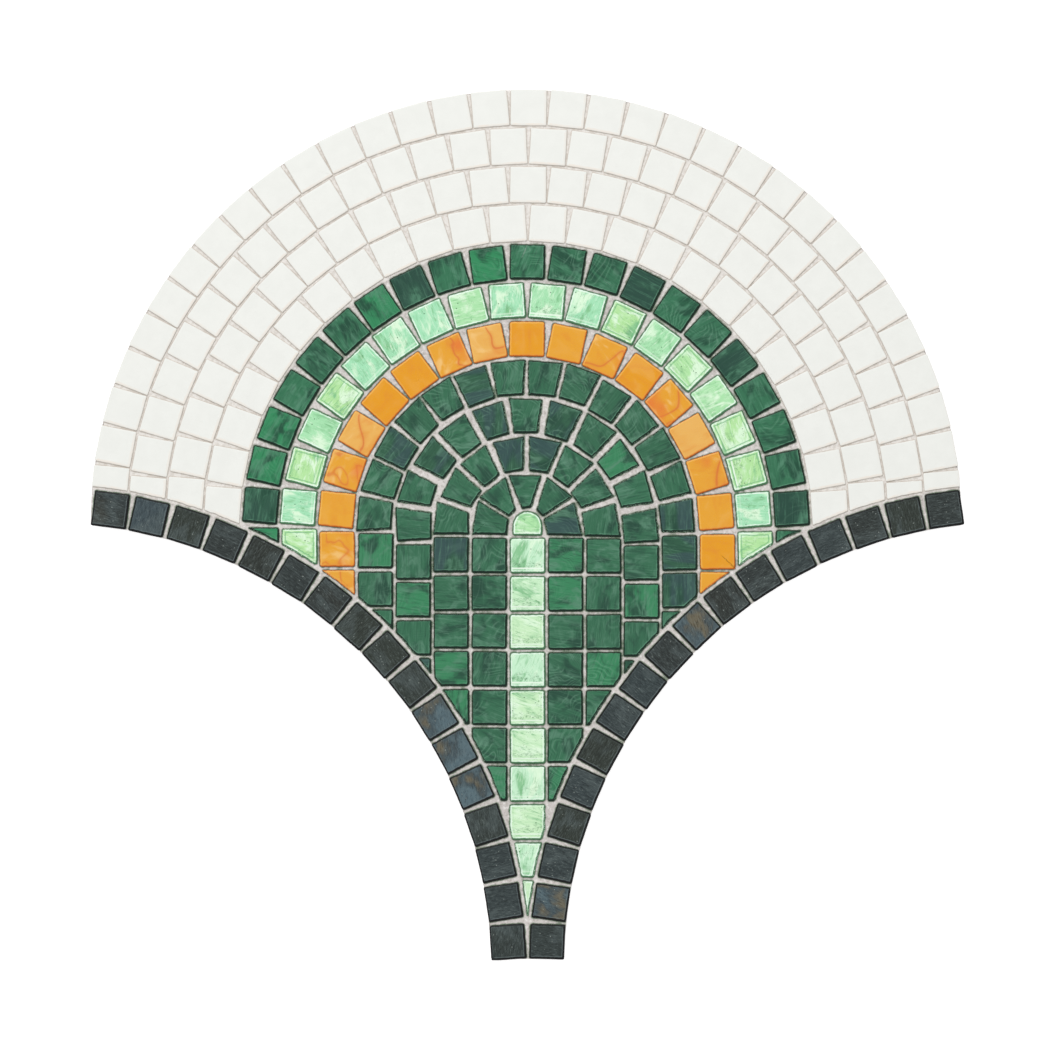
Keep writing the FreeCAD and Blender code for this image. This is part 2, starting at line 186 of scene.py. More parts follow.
def flat_outline(points, triangles, height):
    """The longest outer loop of the triangles that lie at one height, anticlockwise seen from above."""
    level = np.abs(points[:, 2] - height) < SAME_HEIGHT
    flat = triangles[level[triangles].all(axis=1)]
    edges = {(int(t[k]), int(t[(k + 1) % 3])) for t in flat for k in range(3)}
    following = {a: b for a, b in edges if (b, a) not in edges}
    loops = []
    while following:
        start, here = following.popitem()
        loop = [start]
        while here != start:
            loop.append(here)
            here = following.pop(here)
        loops.append(points[loop][:, :2])
    outline = max(loops, key=lambda loop: abs(area(loop)))
    return outline if area(outline) > 0 else outline[::-1]


def area(loop):
    after = np.roll(loop, -1, axis=0)
    return float((loop[:, 0] * after[:, 1] - loop[:, 1] * after[:, 0]).sum() / 2)


def outlines_of(node):
    """Foot outline of each solid in a node, rings from the left end clockwise and the others from the top."""
    points, triangles = mesh_arrays(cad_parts[node])
    labels = loose_parts(len(points), triangles)
    found = [
        flat_outline(points, triangles[labels[triangles[:, 0]] == label], GLASS_FOOT)
        for label in np.unique(labels[triangles[:, 0]])
    ]
    if node.endswith("ring"):
        return sorted(found, key=clockwise_place)
    return sorted(found, key=lambda loop: -loop[:, 1].mean())


def clockwise_place(loop):
    middle = loop.mean(axis=0)
    return -((math.degrees(math.atan2(middle[1], middle[0])) + 90) % 360)


# Outlines of the refined tesserae

# An outline turns more than this, in degrees, at a true corner. A side is cut if it is askew by CUT_TURN.
CORNER_TURN = 25.0
CUT_TURN = 3.5

# Steps round a corner, and the millimetres between two points of a moulded and of a cut side.
CORNER_STEPS = 4
MADE_STEP = 1.5
CUT_STEP = 0.75

# The least and most that a side bows inwards, and the share of a side that a rounded corner may take.
SIDE_BOW = (-0.05, 0.07)
CORNER_SHARE = 0.3

# Unevenness of a moulded and of a cut side: height, scale and seed of each layer of noise, and how far a
# cut side lies further in.
MADE_WAVES = ((0.05, 0.5, 0.5),)
CUT_WAVES = ((0.2, 0.55, 0.5), (0.09, 2.0, 7.5))
CUT_LOSS = 0.02

# Random places in the noise are drawn from 0 to these, for a side and for a face.
SIDE_PHASES = 100
FACE_PHASES = 200


def length_of(line):
    """The length of an open line."""
    return float(np.hypot(*np.diff(line, axis=0).T).sum())


def along(line, distance):
    """The point at a distance along an open line."""
    lengths = np.concatenate(([0], np.cumsum(np.hypot(*np.diff(line, axis=0).T))))
    return np.array([np.interp(distance, lengths, line[:, 0]), np.interp(distance, lengths, line[:, 1])])


def sides_of(loop):
    """The sides of an outline between its true corners, as open lines."""
    before = loop - np.roll(loop, 1, axis=0)
    after = np.roll(loop, -1, axis=0) - loop
    turns = np.degrees(np.arctan2(
        before[:, 0] * after[:, 1] - before[:, 1] * after[:, 0],
        (before * after).sum(axis=1),
    ))
    corners = np.flatnonzero(np.abs(turns) > CORNER_TURN)
    sides = []
    for start, end in zip(corners, np.roll(corners, -1)):
        end = end if end > start else end + len(loop)
        sides.append(loop[np.arange(start, end + 1) % len(loop)])
    return sides


def grain_direction(node, loop):
    """The direction across which a tessera was set, as an angle: outwards in a ring, up in a column."""
    middle = loop.mean(axis=0)
    if node.endswith("ring"):
        return math.atan2(middle[1], middle[0])
    if node.startswith("border"):
        steps = np.roll(loop, -1, axis=0) - loop
        angles = np.arctan2(steps[:, 1], steps[:, 0])
        weights = np.hypot(*steps.T)
        return math.atan2((np.sin(4 * angles) * weights).sum(), (np.cos(4 * angles) * weights).sum()) / 4
    return math.pi / 2


def is_cut(side, direction):
    """True if a side runs askew of the tessera's own square, so it was nibbled to shape."""
    step = side[-1] - side[0]
    askew = math.degrees(math.atan2(step[1], step[0]) - direction) % 90
    return min(askew, 90 - askew) > CUT_TURN


def side_wave(place, phase, cut):
    """How far a side strays inwards at a place along it: a nibbled side is the rougher one."""
    inwards = CUT_LOSS if cut else 0.0
    for height, scale, seed in CUT_WAVES if cut else MADE_WAVES:
        inwards += height * noise.noise(Vector((phase, scale * place, seed)))
    return inwards


def refined_side(side, trims, pulls, cut, draw):
    """Points along one side: trimmed and drawn in at both ends, bowed, and uneven."""
    length = length_of(side)
    bow, phase = draw.uniform(*SIDE_BOW), draw.uniform(0, SIDE_PHASES)
    span = side[-1] - side[0]
    normal = np.array([-span[1], span[0]]) / np.hypot(*span)
    start, end = trims[0], length - trims[1]
    steps = max(2, round((end - start) / (CUT_STEP if cut else MADE_STEP)))
    points = []
    for place in np.linspace(start, end, steps + 1):
        share = place / length
        inwards = bow * math.sin(math.pi * share) + side_wave(place, phase, cut)
        moved = (1 - share) * pulls[0] + share * pulls[1]
        points.append(along(side, place) + normal * inwards + moved)
    return points


def rounded_corner(first, corner, last):
    """Points of the curve between the end of one side and the start of the next."""
    shares = [step / CORNER_STEPS for step in range(1, CORNER_STEPS)]
    return [(1 - s) ** 2 * first + 2 * s * (1 - s) * corner + s ** 2 * last for s in shares]


def refined_outline(node, loop, draw, pull, rounding):
    """An outline with rounded corners and uneven sides, 1 for each point on a cut side, and its direction.

    Each corner is drawn in by a length between the two of the pull, so no two pieces are quite alike."""
    direction = grain_direction(node, loop)
    sides = sides_of(loop)
    count = len(sides)
    middle = loop.mean(axis=0)
    lengths = [length_of(side) for side in sides]
    shorter = [CORNER_SHARE * min(lengths[k - 1], lengths[k]) for k in range(count)]
    trims = [min(draw.uniform(*rounding), most) for most in shorter]
    pulls = [draw.uniform(*pull) * (middle - side[0]) / np.hypot(*(middle - side[0])) for side in sides]
    points, cuts = [], []
    for k, side in enumerate(sides):
        after = (k + 1) % count
        cut = is_cut(side, direction)
        made = refined_side(side, (trims[k], trims[after]), (pulls[k], pulls[after]), cut, draw)
        share = trims[after] / lengths[after]
        last = along(sides[after], trims[after])
        last = last + (1 - share) * pulls[after] + share * pulls[(after + 1) % count]
        corner = rounded_corner(made[-1], side[-1] + pulls[after], last)
        points.extend(made + corner)
        cuts.extend([1.0 if cut else 0.0] * len(made) + [0.0] * len(corner))
    return np.array(points), np.array(cuts), direction


def settle(outline, draw, play, turn):
    """The outline shifted and turned by a little, as a hand sets it, and within the box of the solids."""
    middle = outline.mean(axis=0)
    angle = math.radians(draw.uniform(-turn, turn))
    cos, sin = math.cos(angle), math.sin(angle)
    turned = (outline - middle) @ np.array([[cos, sin], [-sin, cos]])
    moved = turned + middle + np.array([draw.uniform(-play, play), draw.uniform(-play, play)])
    low, high = (np.array(corner[:2]) / MM for corner in CAD_BOX)
    return np.clip(moved, low, high)


def distance_to(points, loop):
    """Distance from each point to a closed outline."""
    start, end = loop, np.roll(loop, -1, axis=0)
    span = end - start
    share = ((points[:, None] - start) * span).sum(-1) / (span ** 2).sum(-1)
    nearest = start + np.clip(share, 0, 1)[..., None] * span
    return np.hypot(*(points[:, None] - nearest).transpose(2, 0, 1)).min(axis=1)


def is_inside(points, loop):
    """True for each point within a closed outline, by counting crossings."""
    x, y = points[:, 0, None], points[:, 1, None]
    ax, ay = loop.T
    bx, by = np.roll(loop, -1, axis=0).T
    crosses = (ay > y) != (by > y)
    with np.errstate(divide="ignore", invalid="ignore"):
        at = ax + (y - ay) / (by - ay) * (bx - ax)
    return (crosses & (x < at)).sum(axis=1) % 2 == 1


# Tesserae

# Steps of the rolled edge: how far in from the outline, and how far below the face.
EDGE_ROLL = ((0.0, 0.40), (0.05, 0.22), (0.16, 0.09), (0.34, 0.02))

# Sizes of the rings of points in a face, as shares of its outline; how far it lies under the top; and the
# length over which it leans by its tilt.
FACE_RINGS = (0.93, 0.86, 0.72, 0.5, 0.25)
FACE_DROP = 0.015
LEAN_REACH = 6

# The waves in a face: their scale, and their least depth as a share of its relief.
WAVE_SCALE = 0.33
WAVE_BASE = 0.35

# Points higher than this above the foot move with the face, and points this near to the face are painted
# with their distance from the outline.
FOOT_BAND = 0.1
FACE_BAND = 0.5

# The side away from the lamp, seen from above.
SHADED_SIDE = np.array([0.45, -0.89])


class Builder:
    """Collects the vertices, faces and painted values of one object."""

    def __init__(self):
        self.points, self.faces = [], []
        self.painted = {"local": [], "rim": [], "tone": []}

    def add(self, points, faces, **painted):
        first = sum(len(block) for block in self.points)
        self.points.append(points)
        self.faces.extend([tuple(first + corner for corner in face) for face in faces])
        for label, values in painted.items():
            self.painted[label].append(values)

    def make(self, name, material):
        mesh = smooth_mesh(name, np.concatenate(self.points), self.faces)
        for label, blocks in self.painted.items():
            paint(mesh, label, np.concatenate(blocks))
        return finished(name, mesh, material)


def smooth_mesh(name, points, faces):
    """A mesh of points given in millimetres."""
    mesh = bpy.data.meshes.new(name)
    mesh.from_pydata((points * MM).tolist(), [], faces)
    mesh.polygons.foreach_set("use_smooth", [True] * len(mesh.polygons))
    return mesh


def paint(mesh, label, values):
    """Three values for each vertex, which the materials read."""
    made = mesh.attributes.new(label, "FLOAT_VECTOR", "POINT")
    made.data.foreach_set("vector", values.astype(np.float32).ravel())


def finished(name, mesh, material):
    """An object of the mesh, with its material, riding on the one body."""
    obj = bpy.data.objects.new(name, mesh)
    bpy.context.scene.collection.objects.link(obj)
    mesh.materials.append(material)
    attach(obj, BODY)
    return obj


def inward_normals(outline):
    """Unit vectors pointing into an anticlockwise outline at each of its points."""
    along_line = np.roll(outline, -1, axis=0) - np.roll(outline, 1, axis=0)
    normals = np.stack([-along_line[:, 1], along_line[:, 0]], axis=1)
    return normals / np.hypot(*normals.T)[:, None]


def rings_of(outline, normals, phase, relief, roll):
    """Rings of points with their heights: the foot, up over the rolled edge, and in across the face."""
    count = len(outline)
    middle = outline.mean(axis=0)
    rings = [(outline, np.full(count, GLASS_FOOT))]
    for inset, drop in EDGE_ROLL:
        rings.append((outline + normals * inset * roll, np.full(count, GLASS_TOP - drop * roll)))
    shoulder = rings[-1][0]
    for share in FACE_RINGS + (0.0,):
        flat = middle + (shoulder - middle) * share
        waves = [noise.noise(Vector((x * WAVE_SCALE + phase, y * WAVE_SCALE, phase))) for x, y in flat]
        drop = relief * (1 - share) * (WAVE_BASE + np.abs(waves))
        rings.append((flat, GLASS_TOP - FACE_DROP - drop))
    return rings


def faces_between(count, rings):
    """Faces between rings of so many points each, closed by the foot and by a point in the middle."""
    faces = [tuple(reversed(range(count)))]
    for ring in range(rings - 2):
        low, high = ring * count, (ring + 1) * count
        for k in range(count):
            after = (k + 1) % count
            faces.append((low + k, low + after, high + after, high + k))
    last, centre = (rings - 2) * count, (rings - 1) * count
    faces.extend((last + k, last + (k + 1) % count, centre) for k in range(count))
    return faces


def tessera(builder, outline, cuts, direction, tone, draw, relief, roll):
    """One closed solid: foot, walls, rolled edge, and a face with slow waves in it."""
    count = len(outline)
    normals = inward_normals(outline)
    middle = outline.mean(axis=0)
    tilt = (draw.uniform(-relief, relief), draw.uniform(-relief, relief))
    phase = draw.uniform(0, FACE_PHASES)
    rings = rings_of(outline, normals, phase, relief, roll)
    heights = np.concatenate([height for _, height in rings])
    flat = np.concatenate([ring for ring, _ in rings])
    lean = ((flat - middle) @ np.array(tilt)) / LEAN_REACH
    top = heights > GLASS_FOOT + FOOT_BAND
    heights = np.where(top, heights + lean - np.abs(tilt).sum(), heights)
    first_centre = (len(rings) - 1) * count
    flat, heights = flat[:first_centre + 1], heights[:first_centre + 1]
    depth = np.where(heights > GLASS_TOP - FACE_BAND, distance_to(flat, outline), 0.0)
    depth[:2 * count] = heights[:2 * count] - GLASS_TOP
    cut = np.concatenate([np.tile(cuts, len(rings) - 1), [0.0]])
    shaded = np.concatenate([np.tile(-normals @ SHADED_SIDE, len(rings) - 1), [0.0]])
    cos, sin = math.cos(direction), math.sin(direction)
    local = (flat - middle) @ np.array([[sin, cos], [-cos, sin]])
    local = np.column_stack([local, np.full(len(flat), phase)])
    rim = np.column_stack([depth, cut, shaded])
    tone = np.tile(tone, (len(flat), 1))
    faces = faces_between(count, len(rings))
    builder.add(np.column_stack([flat, heights]), faces, local=local, rim=rim, tone=tone)


# The least and most shade and streaks of a tessera, in general and where it stands out.
PLAIN_SHADE = (0.3, 0.62)
DEEP_SHADE = (0.0, 0.12)
BRIGHT_SHADE = (0.88, 1.0)
PLAIN_STREAKS = (0.0, 0.45)
STRONG_STREAKS = (0.75, 1.0)


def tones_of(node, place, draw):
    """Shade from 0, deep, to 1, bright; how streaked the glass is; and a hue value of its own."""
    shade = draw.uniform(*PLAIN_SHADE)
    streaks = draw.uniform(*PLAIN_STREAKS)
    if place in DEEP.get(node, ()):
        shade = draw.uniform(*DEEP_SHADE)
    if place in BRIGHT.get(node, ()):
        shade = draw.uniform(*BRIGHT_SHADE)
    if place in STREAKED.get(node, ()):
        streaks = draw.uniform(*STRONG_STREAKS)
    return (shade, streaks, draw.random())


# How freely the pieces were set: the most shift in millimetres, the most turn in degrees, the least and most
# that a corner is drawn in, and the least and most rounding of a corner. Hub pieces have the most room.
WHITE_SET = (0.05, 0.5, (0.0, 0.08), (0.3, 0.7))
SQUARE_SET = (0.08, 0.6, (0.0, 0.1), (0.6, 1.1))
HUB_SET = (0.22, 2.2, (-0.35, 0.45), (0.3, 0.8))
COLUMN_SET = (0.13, 1.0, (-0.03, 0.15), (0.6, 1.2))
BORDER_SET = (0.14, 1.2, (-0.05, 0.12), (0.5, 1.0))

# The height of the waves in a face, and how much of the edge roll it has.
WHITE_FACE = (0.008, 0.6)
COLOURED_FACE = (0.035, 1.0)


def set_of(node, white):
    """How freely the pieces of a node were set."""
    if white:
        return WHITE_SET
    if node.startswith("border"):
        return BORDER_SET
    if "column" in node or node in ("stem", "cap"):
        return COLUMN_SET
    return HUB_SET if node.startswith("green_") else SQUARE_SET


def make_node(node, slot, materials):
    """One object with the refined tesserae of a node. Returns each outline, and whether it is white."""
    outlines = []
    builder = Builder()
    white = slot == "white_glass"
    play, turn, pull, rounding = set_of(node, white)
    relief, roll = WHITE_FACE if white else COLOURED_FACE
    for place, loop in enumerate(outlines_of(node)):
        draw = random.Random(f"{node} {place}")
        outline, cuts, direction = refined_outline(node, loop, draw, pull, rounding)
        outline = settle(outline, draw, play, turn)
        tone = tones_of(node, place, draw)
        tessera(builder, outline, cuts, direction, tone, draw, relief, roll)
        outlines.append((outline, white))
    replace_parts(builder.make(f"{node}_glass", materials[slot]), node)
    return outlines


def make_glass(materials):
    """Every node of glass. Returns each outline, and whether it is white."""
    outlines = []
    for slot, nodes in GLASS_NODES.items():
        for node in nodes:
            outlines.extend(make_node(node, slot, materials))
    return outlines


# Joint filling

# The surface: its grid, how far it runs under the glass, how far it keeps from the rim, how high it lies
# above the bed, and over what width it comes down to the rim and how far below the bed it ends there.
SKIN_STEP = 0.42
SKIN_OVERLAP = 0.5
SKIN_MARGIN = 0.12
SKIN_LIFT = 0.15
SKIN_SLOPE = 0.6
SKIN_SINK = 0.03

# Where it climbs the glass: over what width, and how high.
MENISCUS_WIDTH = 0.5
MENISCUS_RISE = 0.14

# Its grain: height, scale and seed of each layer of noise.
SKIN_GRAIN = ((0.09, 0.5, 3.0), (0.07, 1.3, 8.0), (0.03, 2.9, 1.0))

# Clearance is measured this far out from a tessera, and counts as far beyond that.
CLEARANCE_REACH = 1.6
CLEARANCE_FAR = 9.0


def clearance(outlines, xs, ys):
    """Distance from each grid point to the nearest tessera, negative in one, and 1 where it is white."""
    clear = np.full((len(ys), len(xs)), CLEARANCE_FAR)
    pale = np.zeros((len(ys), len(xs)))
    for outline, white in outlines:
        low = outline.min(axis=0) - CLEARANCE_REACH
        high = outline.max(axis=0) + CLEARANCE_REACH
        i0, i1 = np.searchsorted(xs, (low[0], high[0]))
        j0, j1 = np.searchsorted(ys, (low[1], high[1]))
        grid_x, grid_y = np.meshgrid(xs[i0:i1], ys[j0:j1])
        points = np.column_stack([grid_x.ravel(), grid_y.ravel()])
        distance = distance_to(points, outline)
        distance[is_inside(points, outline)] *= -1
        distance = distance.reshape(grid_x.shape)
        nearer = distance < clear[j0:j1, i0:i1]
        clear[j0:j1, i0:i1][nearer] = distance[nearer]
        pale[j0:j1, i0:i1][nearer] = 1.0 if white else 0.0
    return clear, pale


def skin_height(x, y, clear, inland):
    """Top of the joint filling: it climbs the glass a little, and it is granular."""
    rise = MENISCUS_RISE * max(0.0, 1 - max(clear, 0.0) / MENISCUS_WIDTH) ** 2
    grain = 0.0
    for height, scale, seed in SKIN_GRAIN:
        grain += height * noise.noise(Vector((x * scale, y * scale, seed)))
    blend = min(1.0, inland / SKIN_SLOPE)
    return BED_TOP + blend * (SKIN_LIFT + rise + grain) - SKIN_SINK * (1 - blend)


def skin_points(clear, xs, ys, bed):
    """Row, column, place and distance from the rim of every grid point that the surface takes in."""
    rows, columns = np.nonzero(clear > -SKIN_OVERLAP)
    places = np.column_stack([xs[columns], ys[rows]])
    inside = is_inside(places, bed)
    rows, columns, places = rows[inside], columns[inside], places[inside]
    inland = distance_to(places, bed)
    kept = inland > SKIN_MARGIN
    return rows[kept], columns[kept], places[kept], inland[kept]


def skin_squares(shape, rows, columns):
    """The squares of the grid that have all four corners in the surface, by the corners' numbers."""
    index = np.full(shape, -1)
    index[rows, columns] = np.arange(len(rows))
    corners = np.stack([index[:-1, :-1], index[:-1, 1:], index[1:, 1:], index[1:, :-1]], axis=-1)
    squares = corners.reshape(-1, 4)
    return squares[(squares >= 0).all(axis=1)]


def make_joints(outlines, material):
    """A granular surface on the bed, between the tesserae and just under their edges."""
    points, triangles = mesh_arrays(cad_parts["grout_bed"])
    bed = flat_outline(points, triangles, BACKING_TOP)
    xs = np.arange(bed[:, 0].min(), bed[:, 0].max() + SKIN_STEP, SKIN_STEP)
    ys = np.arange(bed[:, 1].min(), bed[:, 1].max() + SKIN_STEP, SKIN_STEP)
    clear, pale = clearance(outlines, xs, ys)
    rows, columns, places, inland = skin_points(clear, xs, ys, bed)
    heights = [
        skin_height(x, y, clear[row, column], depth)
        for (x, y), row, column, depth in zip(places, rows, columns, inland)
    ]
    faces = skin_squares(clear.shape, rows, columns)
    used = np.unique(faces)
    renumber = np.full(len(rows), -1)
    renumber[used] = np.arange(len(used))
    vertices = np.column_stack([places, heights])[used]
    mesh = smooth_mesh("joint_surface", vertices, renumber[faces].tolist())
    paint(mesh, "joint", np.column_stack([clear[rows, columns], pale[rows, columns], inland])[used])
    finished("joint_surface", mesh, material)
    return bed


# Woven backing

MESH_PITCH = 5.0
STRAND_SIDES = 6
STRAND_STEPS_PER_PITCH = 2

# Half width and half height of a flat strand and of a twisted one; how far the flat ones sway; and how far
# the two of a pair lie to each side, and go up and down.
FLAT_STRAND = (0.62, 0.13)
TWISTED_STRAND = (0.3, 0.12)
FLAT_SWAY = 0.05
PAIR_SPREAD = 0.27
PAIR_LIFT = 0.14

# Half the width of a strand or of a pair, with its sway, and how far the outermost keep within the bed.
STRAND_REACH = 0.67
NETTING_MARGIN = 0.7

# A strand's middle line is measured this far off, where the outline has no vertex.
OFF_VERTEX = 0.01


def spans(outline, axis, level):
    """Stretches of a straight line that lie within an outline, the line being at one level of an axis."""
    a, b = outline, np.roll(outline, -1, axis=0)
    crosses = (a[:, axis] > level) != (b[:, axis] > level)
    a, b = a[crosses], b[crosses]
    share = (level - a[:, axis]) / (b[:, axis] - a[:, axis])
    other = 1 - axis
    found = np.sort(a[:, other] + share * (b[:, other] - a[:, other]))
    return found.reshape(-1, 2)


def room_for_strand(outline, axis, level):
    """Start and end of the stretch where a strand lies within the outline with its full width."""
    lines = (level - STRAND_REACH, level + OFF_VERTEX, level + STRAND_REACH)
    stretches = [max(spans(outline, axis, line), key=np.ptp) for line in lines]
    return max(start for start, _ in stretches), min(end for _, end in stretches)


def strand(vertices, faces, centres, across, half_width, half_height):
    """A flattened tube along a line of centres, closed at both ends."""
    first = len(vertices)
    angles = [2 * math.pi * k / STRAND_SIDES for k in range(STRAND_SIDES)]
    for centre in centres:
        for angle in angles:
            side = half_width * math.cos(angle)
            vertices.append((
                centre[0] + across[0] * side,
                centre[1] + across[1] * side,
                centre[2] + half_height * math.sin(angle),
            ))
    for step in range(len(centres) - 1):
        for k in range(STRAND_SIDES):
            after = (k + 1) % STRAND_SIDES
            a, b = first + step * STRAND_SIDES, first + (step + 1) * STRAND_SIDES
            faces.append((a + k, a + after, b + after, b + k))
    last = first + (len(centres) - 1) * STRAND_SIDES
    faces.append(tuple(range(first, first + STRAND_SIDES)))
    faces.append(tuple(reversed(range(last, last + STRAND_SIDES))))


def weave_line(start, end, lift, swing, level, axis):
    """Centres of one strand between two ends, rising and falling at each crossing."""
    steps = max(2, round((end - start) / MESH_PITCH * STRAND_STEPS_PER_PITCH))
    centres = []
    for step in range(steps + 1):
        place = start + (end - start) * step / steps
        turn = math.pi * place / MESH_PITCH
        height = BACKING_TOP / 2 + lift * math.cos(turn)
        sideways = level + swing * math.sin(turn)
        centres.append((place, sideways, height) if axis == 1 else (sideways, place, height))
    return centres


def make_backing(outline, material):
    """Glass-fibre netting: flat strands one way, and pairs of thinner ones twisting over and under them."""
    vertices, faces = [], []
    for axis in (0, 1):
        across = (1.0, 0.0) if axis == 0 else (0.0, 1.0)
        low, high = outline[:, axis].min() + NETTING_MARGIN, outline[:, axis].max() - NETTING_MARGIN
        for level in np.arange(math.ceil(low / MESH_PITCH) * MESH_PITCH, high, MESH_PITCH):
            start, end = room_for_strand(outline, axis, level)
            if axis == 1:
                centres = weave_line(start, end, 0.0, FLAT_SWAY, level, axis)
                strand(vertices, faces, centres, across, *FLAT_STRAND)
                continue
            for side in (-1, 1):
                centres = weave_line(start, end, PAIR_LIFT * side, 0.0, level + PAIR_SPREAD * side, axis)
                strand(vertices, faces, centres, across, *TWISTED_STRAND)
    mesh = smooth_mesh("netting", np.array(vertices), faces)
    mesh.validate()
    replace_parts(finished("netting", mesh, material), "mesh_backing")


# Materials

# Sockets of a mix node that carry colours
MIX_SHARE, MIX_A, MIX_B, MIX_RESULT = 0, 6, 7, 2


class Shader:
    """A material with one principled shader, and short calls that add the nodes that feed it."""

    def __init__(self, name, **settings):
        self.material = bpy.data.materials.new(name)
        self.material.use_nodes = True
        self.tree = self.material.node_tree
        self.surface = self.tree.nodes["Principled BSDF"]
        self.colour = None
        for socket, value in settings.items():
            self.surface.inputs[socket.replace("_", " ")].default_value = value

    def node(self, kind, inputs, **settings):
        made = self.tree.nodes.new(kind)
        for key, value in settings.items():
            setattr(made, key, value)
        for key, value in inputs.items():
            self.feed(made.inputs[key], value)
        return made

    def feed(self, socket, value):
        if isinstance(value, bpy.types.NodeSocket):
            self.tree.links.new(value, socket)
        else:
            socket.default_value = value

    def object_place(self):
        return self.node("ShaderNodeTexCoord", {}).outputs["Object"]

    def attribute(self, name):
        return self.node("ShaderNodeAttribute", {}, attribute_name=name).outputs["Vector"]

    def split(self, vector):
        made = self.node("ShaderNodeSeparateXYZ", {"Vector": vector})
        return made.outputs["X"], made.outputs["Y"], made.outputs["Z"]

    def math(self, operation, a, b=0.0):
        return self.node("ShaderNodeMath", {0: a, 1: b}, operation=operation).outputs[0]

    def stretch(self, vector, x, y, z=1.0):
        made = self.node("ShaderNodeVectorMath", {0: vector, 1: (x, y, z)}, operation="MULTIPLY")
        return made.outputs[0]

    def turn(self, vector, angle):
        made = self.node("ShaderNodeVectorRotate", {"Vector": vector, "Angle": angle}, rotation_type="Z_AXIS")
        return made.outputs[0]

    def noise(self, vector, scale, detail=2.0, roughness=0.5, distortion=0.0):
        inputs = {"Vector": vector, "Scale": scale, "Detail": detail, "Roughness": roughness,
                  "Distortion": distortion}
        return self.node("ShaderNodeTexNoise", inputs).outputs["Fac"]

    def cells(self, vector, scale):
        """Distance to the nearest scattered point, and that point's chance value."""
        made = self.node("ShaderNodeTexVoronoi", {"Vector": vector, "Scale": scale})
        return made.outputs["Distance"], self.split(made.outputs["Color"])[0]

    def ramp(self, value, low, high, start=0.0, end=1.0):
        """From start to end as the value goes from low to high, level beyond."""
        inputs = {"Value": value, "From Min": low, "From Max": high, "To Min": start, "To Max": end}
        return self.node("ShaderNodeMapRange", inputs, interpolation_type="SMOOTHSTEP").outputs["Result"]

    def band(self, value, low, high, soft):
        """1 between low and high, 0 outside, with soft sides."""
        rising = self.ramp(value, low - soft, low)
        return self.math("MULTIPLY", rising, self.ramp(value, high, high + soft, 1.0, 0.0))

    def line(self, value, middle, width):
        """1 where the value is at the middle, 0 from a width away: thin curves, if the value is a noise."""
        off = self.math("ABSOLUTE", self.math("SUBTRACT", value, middle))
        return self.ramp(off, 0.0, width, 1.0, 0.0)

    def mix(self, share, a, b):
        made = self.node("ShaderNodeMix", {}, data_type="RGBA")
        self.feed(made.inputs[MIX_SHARE], share)
        self.feed(made.inputs[MIX_A], a)
        self.feed(made.inputs[MIX_B], b)
        return made.outputs[MIX_RESULT]

    def product(self, *values):
        result = values[0]
        for value in values[1:]:
            result = self.math("MULTIPLY", result, value)
        return result

    def bump(self, height, distance_mm, normal=None):
        inputs = {"Height": height, "Distance": distance_mm * MM, "Strength": 1.0}
        if normal is not None:
            inputs["Normal"] = normal
        return self.node("ShaderNodeBump", inputs).outputs["Normal"]

    def lay(self, share, colour):
        """Lays a colour over the one so far, by a share from 0 to 1."""
        self.colour = self.mix(share, self.colour, colour)

    def tint(self, value, low, high, most, colour):
        """Lays a colour over the one so far, and the more of it the nearer the value is to high."""
        self.lay(self.ramp(value, low, high, 0.0, most), colour)

    def finish(self, roughness, normal):
        self.feed(self.surface.inputs["Base Color"], self.colour)
        self.feed(self.surface.inputs["Roughness"], roughness)
        self.feed(self.surface.inputs["Normal"], normal)
        return self.material


class Glass(Shader):
    """What every glass has: places on the tessera in millimetres, its rim and its own tones."""

    def __init__(self, name, **settings):
        super().__init__(name, IOR=1.5, **settings)
        self.place = self.attribute("local")
        self.depth, self.cut, self.shaded = self.split(self.attribute("rim"))
        self.shade, self.streaked, self.chance = self.split(self.attribute("tone"))
        wobble = self.noise(self.place, 0.9, 2.0)
        self.edge = self.math("ADD", self.depth, self.ramp(wobble, 0.3, 0.7, -0.07, 0.07))
        quarter = self.math("MULTIPLY", self.math("SNAP", self.chance, 0.5), math.pi)
        self.laid = self.turn(self.place, self.math("ADD", quarter, self.product(self.streaked, 0.4)))

    def drawn(self, across, lengthways, seed=1.0):
        """Place with each way scaled by its own amount, for streaks that run along or across the tessera."""
        return self.stretch(self.laid, across, lengthways, seed)

    def folds(self, lines):
        """Uneven curved lines, as glass shows that was poured in folds: 1 on a line and 0 between two."""
        field = self.noise(self.drawn(0.05, 0.075, 1.7), 1.0, 2.0, 0.35, 0.5)
        return self.math("MULTIPLY", self.math("PINGPONG", self.math("MULTIPLY", field, lines), 0.5), 2.0)

    def inside(self, thin, thick):
        """Depth from a painted dark edge, shade and dark reflection at the rim, thin on the lit sides and
        thick on the others.
        """
        return self.math("SUBTRACT", self.edge, self.ramp(self.shaded, -0.4, 0.9, thin, thick))

    def chips(self, pale):
        """Pale nibble marks along the sides that were cut."""
        spots = self.ramp(self.noise(self.place, 1.7, 3.0, 0.7), 0.48, 0.62)
        near = self.ramp(self.edge, 0.1, 0.5, 1.0, 0.0)
        self.lay(self.product(self.cut, near, spots), pale)


